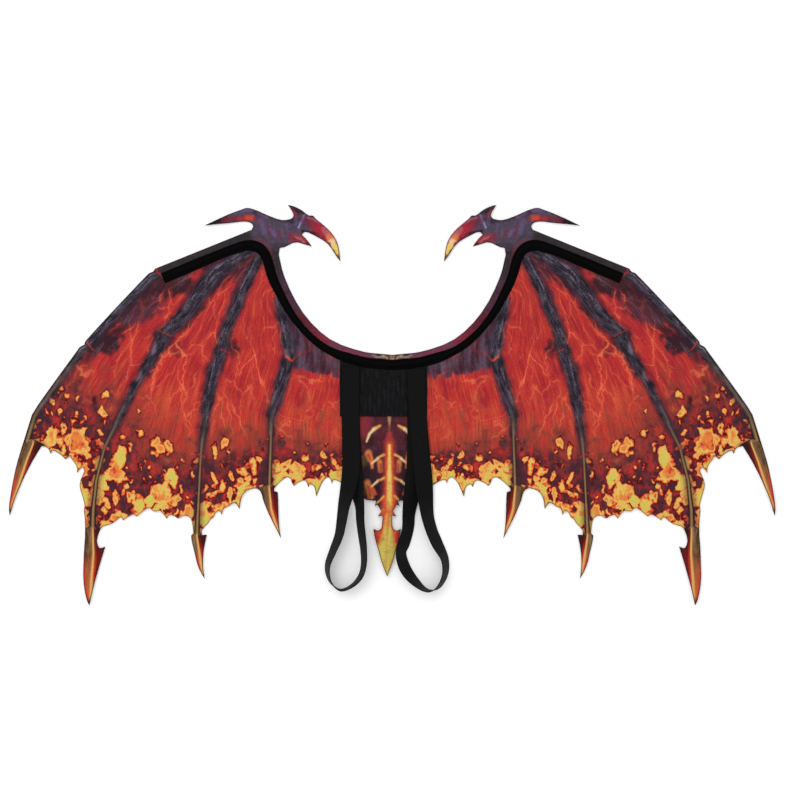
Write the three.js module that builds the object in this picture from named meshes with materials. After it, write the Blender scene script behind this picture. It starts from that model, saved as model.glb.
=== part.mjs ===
// Costume dragon wings, lying flat with the strap side up.
// One cut felt sheet makes both wings, the two horned heads, the claws and the tail. A black casing
// follows the neck and the arms, and two strap loops start on a patch sewn below it.
// X runs across the wings, Y from the tail up to the heads, and Z away from the surface they lie on.

import * as THREE from "three";
import { mergeVertices } from "three/addons/utils/BufferGeometryUtils.js";

// Sizes in millimetres.
const wingSpan = 1052;
const panelHeight = 550;
const feltThickness = 2;
const neckWidth = 312;
const neckDepth = 138;
const headLength = 187;
const headHeight = 78;
const clawLength = 132;
const tailLength = 104;
const tailWidth = 38;
const tailShift = -7;
const casingWidth = 14;
const casingHeight = 4;
const casingTape = 1;
const casingInset = 14;
const casingBend = 38;
const casingShort = 5;
const patchWidth = 120;
const patchHeight = 63.5;
const patchThickness = 1.5;
const patchShift = -12;
const strapWidth = 25;
const strapThickness = 1.4;
const strapSpacing = 90;
const strapLength = 307;
const strapDrop = 40;
const seamGap = 0.3;

// How finely curves are cut into straight pieces.
const samplesPerRow = 3;
const casingSteps = 130;
const cornerSteps = 8;
const strapStepsPerRow = 5;
const patchCuts = 12;

// How the outline passes a row of a table.
const sharp = true;
const round = false;

// Neck edge from the middle to the throat.
// Columns: out as a share of half the neck's width, down as a share of its depth, turn.
const neckRows = [
  [0, 1, sharp],
  [0.09, 0.99, round],
  [0.25, 0.969, round],
  [0.548, 0.844, round],
  [0.783, 0.585, round],
  [0.95, 0.222, round],
  [1, 0, sharp],
];

// Head from the throat round the jaw, beak, crest and rear horn to the shoulder.
// Columns: forward as a share of the head's length, up as a share of its height, turn.
const headRows = [
  [0.008, 0.118, sharp],
  [0.036, 0.127, round],
  [0.074, 0.168, round],
  [0.106, 0.205, round],
  [0.142, 0.212, round],
  [0.179, 0.186, round],
  [0.243, 0.142, sharp],
  [0.199, 0.282, round],
  [0.168, 0.349, sharp],
  [0.194, 0.399, round],
  [0.281, 0.31, round],
  [0.35, 0.209, round],
  [0.386, 0.11, round],
  [0.42, -0.018, round],
  [0.454, -0.128, sharp],
  [0.443, 0.079, round],
  [0.428, 0.218, round],
  [0.401, 0.337, round],
  [0.35, 0.473, round],
  [0.269, 0.636, round],
  [0.251, 0.682, round],
  [0.221, 0.686, round],
  [0.166, 0.782, round],
  [0.112, 0.845, round],
  [0.068, 0.872, sharp],
  [0.096, 0.771, round],
  [0.11, 0.691, round],
  [0.1, 0.64, round],
  [0.071, 0.613, round],
  [0.019, 0.606, round],
  [-0.091, 0.7, round],
  [-0.164, 0.778, round],
  [-0.23, 0.819, round],
  [-0.274, 0.789, round],
  [-0.38, 0.691, round],
  [-0.546, 0.505, sharp],
  [-0.458, 0.532, round],
  [-0.355, 0.555, round],
  [-0.254, 0.581, round],
  [-0.208, 0.56, round],
  [-0.188, 0.5, round],
  [-0.198, 0.436, sharp],
];

// Leading edge from the first joint to the wing tip's claw, and back along that claw.
// Columns: out as a share of half the span, down as a share of the sheet's height, turn.
const armRows = [
  [0.619, 0.159, sharp],
  [0.625, 0.167, sharp],
  [0.634, 0.17, round],
  [0.643, 0.178, round],
  [0.713, 0.248, round],
  [0.792, 0.33, round],
  [0.802, 0.341, sharp],
  [0.804, 0.349, sharp],
  [0.816, 0.355, round],
  [0.823, 0.364, round],
  [0.871, 0.427, round],
  [0.924, 0.498, round],
  [0.941, 0.524, sharp],
  [0.943, 0.53, sharp],
  [0.962, 0.588, round],
  [0.984, 0.66, round],
  [0.998, 0.738, round],
  [1, 0.76, round],
  [0.998, 0.776, sharp],
  [0.986, 0.737, round],
  [0.965, 0.687, round],
  [0.939, 0.638, round],
  [0.916, 0.602, sharp],
];

// Claws at the ends of the three inner fingers, each from its outer side round its tip.
// Columns: out and down from the claw's root, both as shares of the claw length, turn.
const longClaw = [
  [0.067, -0.402, sharp],
  [0.117, -0.258, round],
  [0.086, -0.125, round],
  [0.066, -0.035, round],
  [0.072, 0, round],
  [0.058, 0.17, round],
  [0.074, 0.5, round],
  [0.073, 0.78, round],
  [0.038, 0.945, round],
  [0.0125, 1, sharp],
  [-0.021, 0.84, round],
  [-0.085, 0.6, round],
  [-0.148, 0.39, sharp],
  [-0.09, 0.405, round],
  [-0.062, 0.33, round],
  [-0.094, 0.217, round],
  [-0.123, 0.18, sharp],
];
const barbedClaw = [
  [0.041, 0.031, sharp],
  [0.065, 0.057, sharp],
  [0.057, 0.118, round],
  [0.031, 0.224, round],
  [0.005, 0.331, round],
  [-0.031, 0.425, round],
  [-0.078, 0.505, sharp],
  [-0.06, 0.38, round],
  [-0.062, 0.25, round],
  [-0.075, 0.156, round],
  [-0.098, 0.048, sharp],
  [-0.044, 0.051, sharp],
  [-0.045, 0.004, sharp],
];
const shortClaw = [
  [0.115, 0.107, sharp],
  [0.06, 0.24, round],
  [0.007, 0.347, round],
  [-0.047, 0.454, round],
  [-0.073, 0.505, sharp],
  [-0.054, 0.4, round],
  [-0.045, 0.28, round],
  [-0.04, 0.11, round],
  [-0.035, 0.021, sharp],
  [0.004, 0.01, sharp],
  [0.002, -0.019, sharp],
];

// Burnt hem of each bay, from its outer end to its inner end.
// Columns: across as a share of the way between the ends, up from the straight line between
// them as a share of the sheet's height, turn. The sharp rows are torn teeth.
const tipBay = [
  [0.15, 0.004, round],
  [0.216, -0.0065, sharp],
  [0.258, 0.005, round],
  [0.45, 0.006, round],
  [0.561, 0.001, sharp],
  [0.655, 0.015, round],
  [0.718, 0.009, round],
  [0.82, -0.001, round],
  [0.826, -0.017, sharp],
  [0.899, -0.002, round],
  [0.955, 0.005, round],
];
const outerBay = [
  [0.102, 0.009, round],
  [0.147, 0.017, round],
  [0.203, 0.027, round],
  [0.225, 0.019, sharp],
  [0.275, 0.028, round],
  [0.346, 0.036, round],
  [0.374, 0.031, sharp],
  [0.418, 0.04, round],
  [0.474, 0.051, round],
  [0.514, 0.055, round],
  [0.567, 0.047, round],
  [0.631, 0.05, round],
  [0.675, 0.041, round],
  [0.707, 0.031, sharp],
  [0.737, 0.041, round],
  [0.793, 0.039, round],
  [0.832, 0.034, round],
  [0.893, 0.042, round],
  [0.96, 0.039, round],
  [0.985, 0.027, round],
];
const middleBay = [
  [0.05, 0.006, round],
  [0.11, 0.011, round],
  [0.142, 0.017, round],
  [0.194, 0.019, round],
  [0.232, 0.028, round],
  [0.289, 0.027, round],
  [0.33, 0.014, sharp],
  [0.355, 0.027, round],
  [0.436, 0.028, round],
  [0.541, 0.029, round],
  [0.619, 0.007, sharp],
  [0.632, 0.025, round],
  [0.667, 0.038, round],
  [0.719, 0.044, round],
  [0.781, 0.044, round],
  [0.886, 0.039, round],
  [0.955, 0.026, round],
];
const innerBay = [
  [0.031, 0.01, round],
  [0.08, 0.023, round],
  [0.129, 0.032, round],
  [0.161, 0.029, round],
  [0.176, 0.018, round],
  [0.196, 0.012, sharp],
  [0.227, 0.02, round],
  [0.305, 0.029, round],
  [0.335, 0.013, sharp],
  [0.35, 0.021, round],
  [0.391, 0.017, round],
  [0.413, -0.008, sharp],
  [0.433, 0.006, round],
  [0.462, 0.025, round],
  [0.491, 0.037, round],
  [0.523, 0.044, round],
  [0.55, 0.04, round],
  [0.565, 0.029, sharp],
  [0.579, 0.039, round],
  [0.65, 0.035, round],
  [0.78, 0.013, round],
  [0.9, 0, round],
];

// Half of the tail from the hem to the arrow's tip.
// Columns: half width as a share of the arrow's width, down as a share of the tail's length, turn.
const tailRows = [
  [0.39, 0, sharp],
  [0.45, 0.07, sharp],
  [0.356, 0.053, round],
  [0.27, 0.1, round],
  [0.2, 0.135, sharp],
  [0.335, 0.206, sharp],
  [0.164, 0.192, sharp],
  [0.18, 0.285, round],
  [0.21, 0.36, round],
  [0.32, 0.392, round],
  [0.5, 0.369, sharp],
  [0.433, 0.504, round],
  [0.32, 0.646, round],
  [0.205, 0.802, round],
  [0, 1, sharp],
];

// Where the fingers' claws and the tail start.
// Columns: out as a share of half the span, down as a share of the sheet's height.
const longClawRoot = [0.787, 1 - clawLength / panelHeight];
const barbedClawRoot = [0.509, 0.8125];
const shortClawRoot = [0.308, 0.7125];
const tailRootDown = 0.739;

// Route of each strap's middle from the patch down the inner leg, round the end and back up the
// outer leg on top of itself.
// Columns: in towards the tail and down, both as shares of the strap's length, and the lean of
// the band from flat in degrees, which goes on past a right angle where the band comes back.
const leftStrap = [
  [0, 0, 0],
  [0, 0.167, 0],
  [0.004, 0.341, 0],
  [0.015, 0.472, 12],
  [0.03, 0.559, 40],
  [0.041, 0.624, 58],
  [0.0435, 0.689, 62],
  [0.051, 0.754, 64],
  [0.0587, 0.82, 68],
  [0.0587, 0.885, 72],
  [0.0435, 0.937, 76],
  [0.002, 0.98, 84],
  [-0.0457, 0.996, 90],
  [-0.0848, 0.967, 98],
  [-0.101, 0.928, 104],
  [-0.102, 0.885, 108],
  [-0.078, 0.82, 114],
  [-0.052, 0.754, 120],
  [-0.04, 0.689, 126],
  [-0.03, 0.624, 132],
  [-0.015, 0.559, 146],
  [0.001, 0.472, 168],
  [0.002, 0.341, 180],
  [0, 0.167, 180],
  [0, 0, 180],
];
const rightStrap = [
  [0, 0, 0],
  [0, 0.167, 0],
  [0, 0.341, 0],
  [0.0065, 0.472, 8],
  [0.024, 0.58, 30],
  [0.033, 0.646, 44],
  [0.037, 0.711, 48],
  [0.054, 0.776, 48],
  [0.068, 0.82, 54],
  [0.056, 0.876, 52],
  [0.031, 0.92, 56],
  [-0.004, 0.958, 68],
  [-0.035, 0.982, 80],
  [-0.063, 0.99, 90],
  [-0.094, 0.978, 102],
  [-0.119, 0.943, 108],
  [-0.131, 0.9, 112],
  [-0.126, 0.846, 116],
  [-0.0935, 0.78, 128],
  [-0.0696, 0.724, 130],
  [-0.052, 0.663, 134],
  [-0.0435, 0.602, 144],
  [-0.035, 0.515, 164],
  [-0.017, 0.341, 180],
  [-0.004, 0.167, 180],
  [0, 0, 180],
];

// Heights and places that follow from the sizes.
const crestUp = Math.max(...headRows.map(([, up]) => up));
const throatY = panelHeight / 2 - crestUp * headHeight;
const patchBase = feltThickness + seamGap;
const strapBase = patchBase + patchThickness + seamGap;
const up = new THREE.Vector3(0, 0, 1);

function wingPlace([out, down]) {
  return new THREE.Vector3((out * wingSpan) / 2, (0.5 - down) * panelHeight, 0);
}

function neckPlace([out, down]) {
  return new THREE.Vector3((out * neckWidth) / 2, throatY - down * neckDepth, 0);
}

function headPlace([forward, above]) {
  return new THREE.Vector3(neckWidth / 2 - forward * headLength, throatY + above * headHeight, 0);
}

function clawPlace(root, [out, down]) {
  const place = wingPlace(root);
  place.x += out * clawLength;
  place.y -= down * clawLength;
  return place;
}

function hemPlace(start, end, [across, above]) {
  const place = start.clone().lerp(end, across);
  place.y += above * panelHeight;
  return place;
}

function tailPlace(side, [half, down]) {
  const root = wingPlace([0, tailRootDown]);
  return new THREE.Vector3(side * half * tailWidth + tailShift, root.y - down * tailLength, 0);
}

// Points along a line of rows: round rows are joined by one smooth curve, which breaks at sharp ones.
function traced(rows, place) {
  const points = [];
  let stretch = [];
  rows.forEach((row, index) => {
    stretch.push(place(row));
    const ends = row[2] === sharp || index === rows.length - 1;
    if (!ends || stretch.length < 2) return;
    const spans = stretch.length - 1;
    const curve = new THREE.CatmullRomCurve3(stretch, false, "centripetal");
    const cuts = spans === 1 ? 1 : spans * samplesPerRow;
    points.push(...curve.getPoints(cuts).slice(points.length ? 1 : 0));
    stretch = [stretch[spans]];
  });
  return points;
}

// The wing's outline on the right, from the neck's middle out to the wing tip and back to the tail.
// The other side of the tail is not its mirror image, so the side is asked for.
function halfOutline(side) {
  const claws = [
    traced(longClaw, (row) => clawPlace(longClawRoot, row)),
    traced(barbedClaw, (row) => clawPlace(barbedClawRoot, row)),
    traced(shortClaw, (row) => clawPlace(shortClawRoot, row)),
  ];
  const arm = traced(armRows, wingPlace);
  const tail = traced(tailRows, (row) => tailPlace(side, row));
  tail.forEach((point) => {
    point.x *= side;
  });
  const stops = [arm, ...claws, tail];
  const bays = [tipBay, outerBay, middleBay, innerBay];
  const points = [...traced(neckRows, neckPlace), ...traced(headRows, headPlace), ...arm];
  bays.forEach((bay, index) => {
    const start = stops[index].at(-1);
    const end = stops[index + 1][0];
    const rows = [[0, 0, sharp], ...bay, [1, 0, sharp]];
    const hem = traced(rows, (row) => hemPlace(start, end, row));
    points.push(...hem.slice(1, -1), ...stops[index + 1]);
  });
  points.forEach((point) => {
    point.x *= side;
  });
  return points;
}

function wingPanel() {
  const right = halfOutline(1);
  const left = halfOutline(-1).slice(1, -1).reverse();
  const outline = [...right, ...left].map(({ x, y }) => new THREE.Vector2(x, y));
  const shape = new THREE.Shape(outline);
  return new THREE.ExtrudeGeometry(shape, { depth: feltThickness, bevelEnabled: false });
}

// A line moved into the felt by a distance, for a line that has the felt on its right.
function insetLine(points, distance) {
  return points.map((point, index) => {
    const before = points[Math.max(index - 1, 0)];
    const after = points[Math.min(index + 1, points.length - 1)];
    const along = after.clone().sub(before).normalize();
    return new THREE.Vector3(point.x + along.y * distance, point.y - along.x * distance, point.z);
  });
}

// The neck's edge from throat to throat, from left to right.
function neckEdge() {
  const right = traced(neckRows, neckPlace);
  const left = right.slice(1).reverse();
  return [...left.map(({ x, y, z }) => new THREE.Vector3(-x, y, z)), ...right];
}

// Where two lines cross, each given by a point and a direction.
function crossing(pointA, alongA, pointB, alongB) {
  const apart = pointB.clone().sub(pointA);
  const spread = alongA.x * alongB.y - alongA.y * alongB.x;
  const reach = (apart.x * alongB.y - apart.y * alongB.x) / spread;
  return pointA.clone().addScaledVector(alongA, reach);
}

// The casing's middle on the right: the neck, a round corner under the head, and the arm.
function casingHalf() {
  const neck = insetLine(neckEdge(), casingInset);
  const half = neck.slice((neck.length - 1) / 2);
  const throat = half.at(-1);
  const neckAlong = throat.clone().sub(half.at(-2)).normalize();
  const shoulder = headPlace(headRows.at(-1));
  const arm = insetLine([shoulder, wingPlace(armRows[0])], casingInset);
  const armAlong = arm[1].clone().sub(arm[0]).normalize();
  const corner = crossing(throat, neckAlong, arm[0], armAlong);
  const straight = half.filter((point) => point.distanceTo(corner) > casingBend);
  const bendEnd = corner.clone().addScaledVector(armAlong, casingBend);
  const bend = new THREE.QuadraticBezierCurve3(straight.at(-1), corner, bendEnd);
  const last = arm[1].clone().addScaledVector(armAlong, -casingShort);
  return [...straight, ...bend.getPoints(cornerSteps).slice(1), last];
}

// A bar whose length runs along Z from 0 to 1 is laid along a row of stations, with its X across
// the route and its Y out of the surface.
function laidAlong(bar, stations) {
  bar.deleteAttribute("normal");
  bar.deleteAttribute("uv");
  const merged = mergeVertices(bar);
  const places = merged.getAttribute("position");
  const point = new THREE.Vector3();
  for (let index = 0; index < places.count; index += 1) {
    const step = Math.round(places.getZ(index) * (stations.length - 1));
    const { centre, across, out } = stations[step];
    point.copy(centre);
    point.addScaledVector(across, places.getX(index));
    point.addScaledVector(out, places.getY(index));
    places.setXYZ(index, point.x, point.y, point.z);
  }
  merged.computeVertexNormals();
  return merged;
}

// Stations along a line of points. A turn about the route leans the bar over.
function stationsAlong(points, turns) {
  return points.map((centre, index) => {
    const before = points[Math.max(index - 1, 0)];
    const after = points[Math.min(index + 1, points.length - 1)];
    const along = after.clone().sub(before).normalize();
    const across = up.clone().cross(along).normalize();
    const out = along.clone().cross(across);
    across.applyAxisAngle(along, turns[index]);
    out.applyAxisAngle(along, turns[index]);
    return { centre, across, out };
  });
}

// A flat tape with a round ridge down its middle, where the wire lies.
function casingSection() {
  const footShare = 0.3;
  const crownShare = 0.16;
  const half = casingWidth / 2;
  const foot = casingWidth * footShare;
  const crown = casingWidth * crownShare;
  const section = new THREE.Shape();
  section.moveTo(-half, 0);
  section.lineTo(half, 0);
  section.lineTo(half, casingTape);
  section.lineTo(foot, casingTape);
  section.bezierCurveTo(crown, casingTape, crown, casingHeight, 0, casingHeight);
  section.bezierCurveTo(-crown, casingHeight, -crown, casingTape, -foot, casingTape);
  section.lineTo(-half, casingTape);
  section.closePath();
  return section;
}

function wireCasing() {
  const right = casingHalf();
  const left = right.slice(1).reverse();
  const route = [...left.map(({ x, y, z }) => new THREE.Vector3(-x, y, z)), ...right];
  route.forEach((point) => {
    point.z = feltThickness + seamGap;
  });
  const curve = new THREE.CatmullRomCurve3(route, false, "centripetal");
  curve.arcLengthDivisions = 4 * casingSteps;
  const points = curve.getSpacedPoints(casingSteps);
  const bar = new THREE.ExtrudeGeometry(casingSection(), {
    depth: 1,
    steps: casingSteps,
    curveSegments: 4,
    bevelEnabled: false,
  });
  return laidAlong(bar, stationsAlong(points, points.map(() => 0)));
}

// Height of the casing's lower edge at a place across the neck.
function casingFootAt(x) {
  const foot = insetLine(neckEdge(), casingInset + casingWidth / 2);
  const index = foot.findIndex((point) => point.x > x);
  const before = foot[index - 1];
  const after = foot[index];
  return THREE.MathUtils.mapLinear(x, before.x, after.x, before.y, after.y);
}

function backPatch() {
  const left = patchShift - patchWidth / 2;
  const bottom = casingFootAt(0) - patchHeight;
  const shape = new THREE.Shape();
  shape.moveTo(left, bottom);
  for (let index = 0; index <= patchCuts; index += 1) {
    const x = left + (patchWidth * index) / patchCuts;
    shape.lineTo(x, casingFootAt(x) - seamGap);
  }
  shape.lineTo(left + patchWidth, bottom);
  const patch = new THREE.ExtrudeGeometry(shape, { depth: patchThickness, bevelEnabled: false });
  return patch.translate(0, 0, patchBase);
}

// One strap: a flat band down and back over itself, whose loop stands on its edge.
// The plan's curve carries the lean as a small third coordinate, so that it turns as smoothly.
function strapLoop(rows, side) {
  const flatBack = 180;
  const leanUnit = 0.001;
  const middle = patchShift + (side * strapSpacing) / 2;
  const half = strapWidth / 2;
  const top = Math.min(casingFootAt(middle - half), casingFootAt(middle + half)) - seamGap;
  const hemY = wingPlace([0, tailRootDown]).y;
  const plan = new THREE.CatmullRomCurve3(
    rows.map(([inward, down, lean]) => new THREE.Vector3(inward, down, lean * leanUnit)),
    false,
    "centripetal",
  );
  const points = [];
  const turns = [];
  plan.getPoints((rows.length - 1) * strapStepsPerRow).forEach(({ x, y, z }) => {
    const lean = THREE.MathUtils.degToRad(THREE.MathUtils.clamp(z / leanUnit, 0, flatBack));
    const placeY = top - y * strapLength;
    const onFelt = THREE.MathUtils.smoothstep(placeY, hemY - strapDrop, hemY);
    const edgeHeight = half * Math.sin(lean) + (strapThickness / 2) * Math.abs(Math.cos(lean));
    const layer = (strapThickness + seamGap) * Math.max(0, -Math.cos(lean));
    const placeZ = strapBase * onFelt + edgeHeight + layer;
    points.push(new THREE.Vector3(middle - side * x * strapLength, placeY, placeZ));
    turns.push(-side * lean);
  });
  const bar = new THREE.BoxGeometry(strapWidth, strapThickness, 1, 1, 1, points.length - 1);
  bar.translate(0, 0, 0.5);
  return laidAlong(bar, stationsAlong(points, turns));
}

const felt = new THREE.MeshStandardMaterial({ color: 0x9c2a22, roughness: 0.95, metalness: 0 });
const tape = new THREE.MeshStandardMaterial({ color: 0x050505, roughness: 0.9, metalness: 0 });
const cloth = new THREE.MeshStandardMaterial({ color: 0x1c1c1e, roughness: 0.95, metalness: 0 });
const elastic = new THREE.MeshStandardMaterial({ color: 0x1a1a1b, roughness: 0.75, metalness: 0 });

const group = new THREE.Group();
const pieces = [
  ["wing_panel", wingPanel(), felt],
  ["wire_casing", wireCasing(), tape],
  ["back_patch", backPatch(), cloth],
  ["strap_left", strapLoop(leftStrap, -1), elastic],
  ["strap_right", strapLoop(rightStrap, 1), elastic],
];
pieces.forEach(([name, geometry, material]) => {
  const mesh = new THREE.Mesh(geometry, material);
  mesh.name = name;
  group.add(mesh);
});

export default group;
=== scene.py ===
import math

import bpy
import numpy as np
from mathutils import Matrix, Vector
from mathutils.geometry import delaunay_2d_cdt
from mathutils.kdtree import KDTree


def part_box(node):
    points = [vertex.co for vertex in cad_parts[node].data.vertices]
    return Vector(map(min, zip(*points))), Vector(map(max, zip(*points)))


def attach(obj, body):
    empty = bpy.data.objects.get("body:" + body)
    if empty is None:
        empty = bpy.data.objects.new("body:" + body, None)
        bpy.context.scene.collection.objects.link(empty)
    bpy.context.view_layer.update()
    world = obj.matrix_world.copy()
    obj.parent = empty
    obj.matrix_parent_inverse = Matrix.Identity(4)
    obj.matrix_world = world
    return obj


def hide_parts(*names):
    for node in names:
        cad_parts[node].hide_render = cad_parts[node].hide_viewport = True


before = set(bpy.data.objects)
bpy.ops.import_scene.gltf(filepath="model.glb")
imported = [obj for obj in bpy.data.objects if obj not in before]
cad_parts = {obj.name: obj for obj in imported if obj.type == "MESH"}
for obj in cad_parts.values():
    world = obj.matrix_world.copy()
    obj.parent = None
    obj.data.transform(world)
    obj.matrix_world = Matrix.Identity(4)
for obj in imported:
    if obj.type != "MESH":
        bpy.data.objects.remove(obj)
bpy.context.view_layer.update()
mm = 0.001


# Colours are given as the eye reads them, from 0 to 255, and made linear here

def tone(colour):
    shares = [part / 255 for part in colour]
    return tuple(((s + 0.055) / 1.055) ** 2.4 if s > 0.04 else s / 12.92 for s in shares) + (1.0,)


# Places on the sheet, in thousandths: out of half its span, and down of its height

panelLow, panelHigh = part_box("wing_panel")
panelTall = panelHigh.y - panelLow.y


def sheetPlace(out, down):
    return (out / 1000 * panelHigh.x, panelHigh.y - down / 1000 * panelTall)


# Building meshes

def addObject(name, data, spot=(0, 0, 0)):
    made = bpy.data.objects.new(name, data)
    made.location = spot
    bpy.context.scene.collection.objects.link(made)
    return made


def makePiece(name, points, faces, material, smooth=True):
    mesh = bpy.data.meshes.new(name)
    mesh.from_pydata([tuple(point) for point in points], [], [tuple(face) for face in faces])
    mesh.validate()
    mesh.polygons.foreach_set("use_smooth", [smooth] * len(mesh.polygons))
    mesh.materials.append(material)
    return addObject(name, mesh)


def upperRim(node):
    # The edge of a CAD node's upper face, as points in order round it
    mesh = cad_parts[node].data
    numbers = {}
    own = [numbers.setdefault(tuple(round(c, 7) for c in v.co), len(numbers)) for v in mesh.vertices]
    sides = set()
    for face in mesh.polygons:
        if face.normal.z > 0.5:
            ring = [own[index] for index in face.vertices]
            sides.update(zip(ring, ring[1:] + ring[:1]))
    following = {a: b for a, b in sides if (b, a) not in sides}
    order = [next(iter(following))]
    while following[order[-1]] != order[0]:
        order.append(following[order[-1]])
    return np.array(list(numbers))[order][:, :2]


def densely(ring, spacing):
    # Points along a closed ring, and the number of the side that each lies on
    places, owners = [], []
    for index, (start, end) in enumerate(zip(ring, np.roll(ring, -1, 0))):
        cuts = max(1, math.ceil(np.linalg.norm(end - start) / spacing))
        shares = np.arange(cuts)[:, None] / cuts
        places.append(start + (end - start) * shares)
        owners += [index] * cuts
    return np.concatenate(places), np.array(owners)


def nearest(points, targets):
    tree = KDTree(len(targets))
    for index, (x, y) in enumerate(targets):
        tree.insert((x, y, 0), index)
    tree.balance()
    return np.array([tree.find((x, y, 0))[2] for x, y in points])


def hexagonGrid(low, high, spacing):
    rows = np.arange(low[1], high[1], spacing * math.sqrt(0.75))
    columns = np.arange(low[0], high[0], spacing)
    x, y = np.meshgrid(columns, rows)
    x[1::2] += spacing / 2
    return np.stack([x.ravel(), y.ravel()], 1)


def inside(points, ring):
    within = np.zeros(len(points), bool)
    for (startX, startY), (endX, endY) in zip(ring, np.roll(ring, -1, 0)):
        if startY == endY:
            continue
        level = (startY > points[:, 1]) != (endY > points[:, 1])
        crossing = startX + (points[:, 1] - startY) * (endX - startX) / (endY - startY)
        within ^= level & (points[:, 0] < crossing)
    return within


def filled(rim, spots):
    # Triangles over the inside of a rim, through spots in it
    spots = spots[inside(spots, rim)]
    points = [Vector(place) for place in np.concatenate([rim, spots])]
    sides = [(index, (index + 1) % len(rim)) for index in range(len(rim))]
    made = delaunay_2d_cdt(points, sides, [], 0, 1e-7, False)
    places, faces = np.array([tuple(point) for point in made[0]]), np.array(made[2])
    return places, faces[inside(places[faces].mean(1), rim)]


def clothSheet(name, rim, spots, lowerSpots, base, thickness, lift, material):
    # A closed sheet: a fine upper face, a coarse lower one and a wall round the rim
    upper, upperFaces = filled(rim, spots)
    lower, lowerFaces = filled(rim, lowerSpots)
    count = len(rim)
    upperZ = base + thickness + lift(upper)
    lowerZ = base + lift(lower)
    points = np.concatenate([np.column_stack([upper, upperZ]), np.column_stack([lower, lowerZ])])
    first = len(upper)
    after = (np.arange(count) + 1) % count
    wall = [(i + first, j + first, j, i) for i, j in zip(range(count), after)]
    faces = upperFaces.tolist() + (lowerFaces[:, ::-1] + first).tolist() + wall
    piece = makePiece(name, points, faces, material)
    sharpen(piece, 50)
    return piece


def sharpen(piece, degrees):
    bpy.context.view_layer.objects.active = piece
    piece.select_set(True)
    bpy.ops.object.shade_smooth_by_angle(angle=math.radians(degrees))
    piece.select_set(False)


def store(piece, name, values, kind="FLOAT_VECTOR"):
    field = "color" if kind == "FLOAT_COLOR" else "vector"
    attribute = piece.data.attributes.new(name, kind, "POINT")
    attribute.data.foreach_set(field, np.asarray(values, np.float32).ravel())


def smoothStep(value, low, high):
    share = np.clip((value - low) / (high - low), 0, 1)
    return share * share * (3 - 2 * share)


def ripple(points, size, seed):
    # Smooth unevenness between about -1 and 1
    chance = np.random.default_rng(seed)
    waves = 7
    total = np.zeros(len(points))
    for _ in range(waves):
        angle, phase = chance.uniform(0, 2 * math.pi, 2)
        pace = 2 * math.pi / (size * chance.uniform(0.6, 1.7))
        total += np.sin((points[:, 0] * math.cos(angle) + points[:, 1] * math.sin(angle)) * pace + phase)
    return total / math.sqrt(waves)


def besideLine(points, rows):
    # Where points lie beside a line of rows: side (out is positive), distance, length along the
    # line, and the rows' other columns there
    rows = np.array(rows, float)
    line = np.array([sheetPlace(out, down) for out, down in rows[:, :2]])
    start, step = line[:-1], np.diff(line, axis=0)
    lengths = np.linalg.norm(step, axis=1)
    before = np.concatenate([[0], np.cumsum(lengths)[:-1]])
    reach = points[:, None] - start
    share = np.clip((reach * step).sum(2) / lengths**2, 0, 1)
    gap = reach - share[..., None] * step
    distance = np.hypot(gap[..., 0], gap[..., 1])
    best = distance.argmin(1)
    pick = np.arange(len(points)), best
    turn = step[best, 0] * reach[pick][:, 1] - step[best, 1] * reach[pick][:, 0]
    part = share[pick]
    others = rows[:-1, 2:][best] * (1 - part)[:, None] + rows[1:, 2:][best] * part[:, None]
    return np.sign(turn), distance[pick], before[best] + part * lengths[best], others


# Shader nodes

class Signal:
    # A node's output, which sums and products turn into more nodes
    def __init__(self, graph, socket):
        self.graph, self.socket = graph, socket

    def __add__(self, other):
        return self.graph.math("ADD", self, other)

    def __sub__(self, other):
        return self.graph.math("SUBTRACT", self, other)

    def __rsub__(self, other):
        return self.graph.math("SUBTRACT", other, self)

    def __mul__(self, other):
        return self.graph.math("MULTIPLY", self, other)

    def __truediv__(self, other):
        return self.graph.math("DIVIDE", self, other)

    def __abs__(self):
        return self.graph.math("ABSOLUTE", self)

    __radd__ = __add__
    __rmul__ = __mul__


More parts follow.
